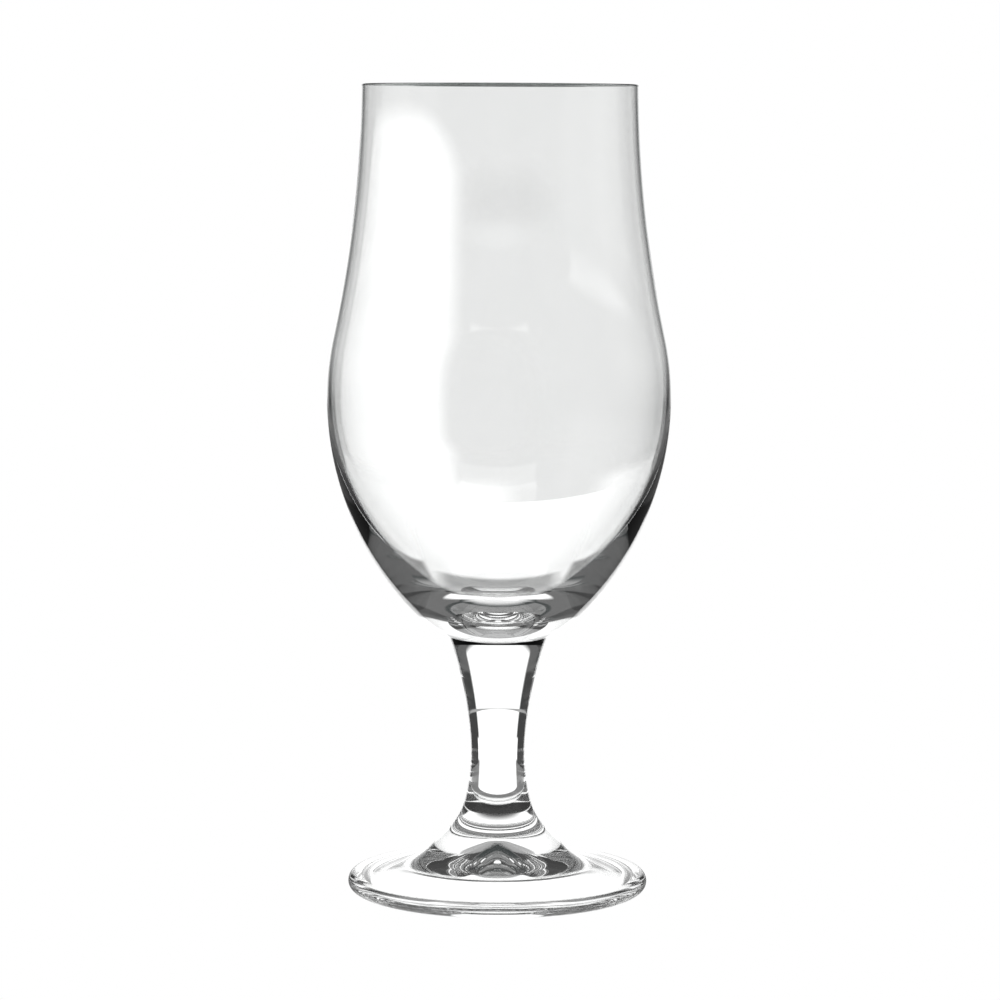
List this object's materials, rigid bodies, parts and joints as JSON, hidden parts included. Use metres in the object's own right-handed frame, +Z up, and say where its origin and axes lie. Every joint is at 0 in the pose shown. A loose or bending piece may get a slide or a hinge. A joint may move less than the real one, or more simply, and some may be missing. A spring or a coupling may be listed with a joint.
{
  "type": "stemmed beer glass",
  "caption": "Clear stemmed beer glass: a tulip bowl that draws in to a straight neck, on a waisted solid stem and a round foot that is hollowed underneath.",
  "frame": {"origin": "centre of the ring that the foot stands on, on the surface under it", "axes": "+Z up along the axis of the glass; it is round, so X and Y are alike"},
  "size_m": [0.0842, 0.0842, 0.198],
  "materials": {
    "clear_glass": "clear soda-lime glass, fire-polished all over"
  },
  "bodies": {
    "root": {"bowl": "clear_glass", "stem": "clear_glass", "foot": "clear_glass"}
  },
  "joints": []
}
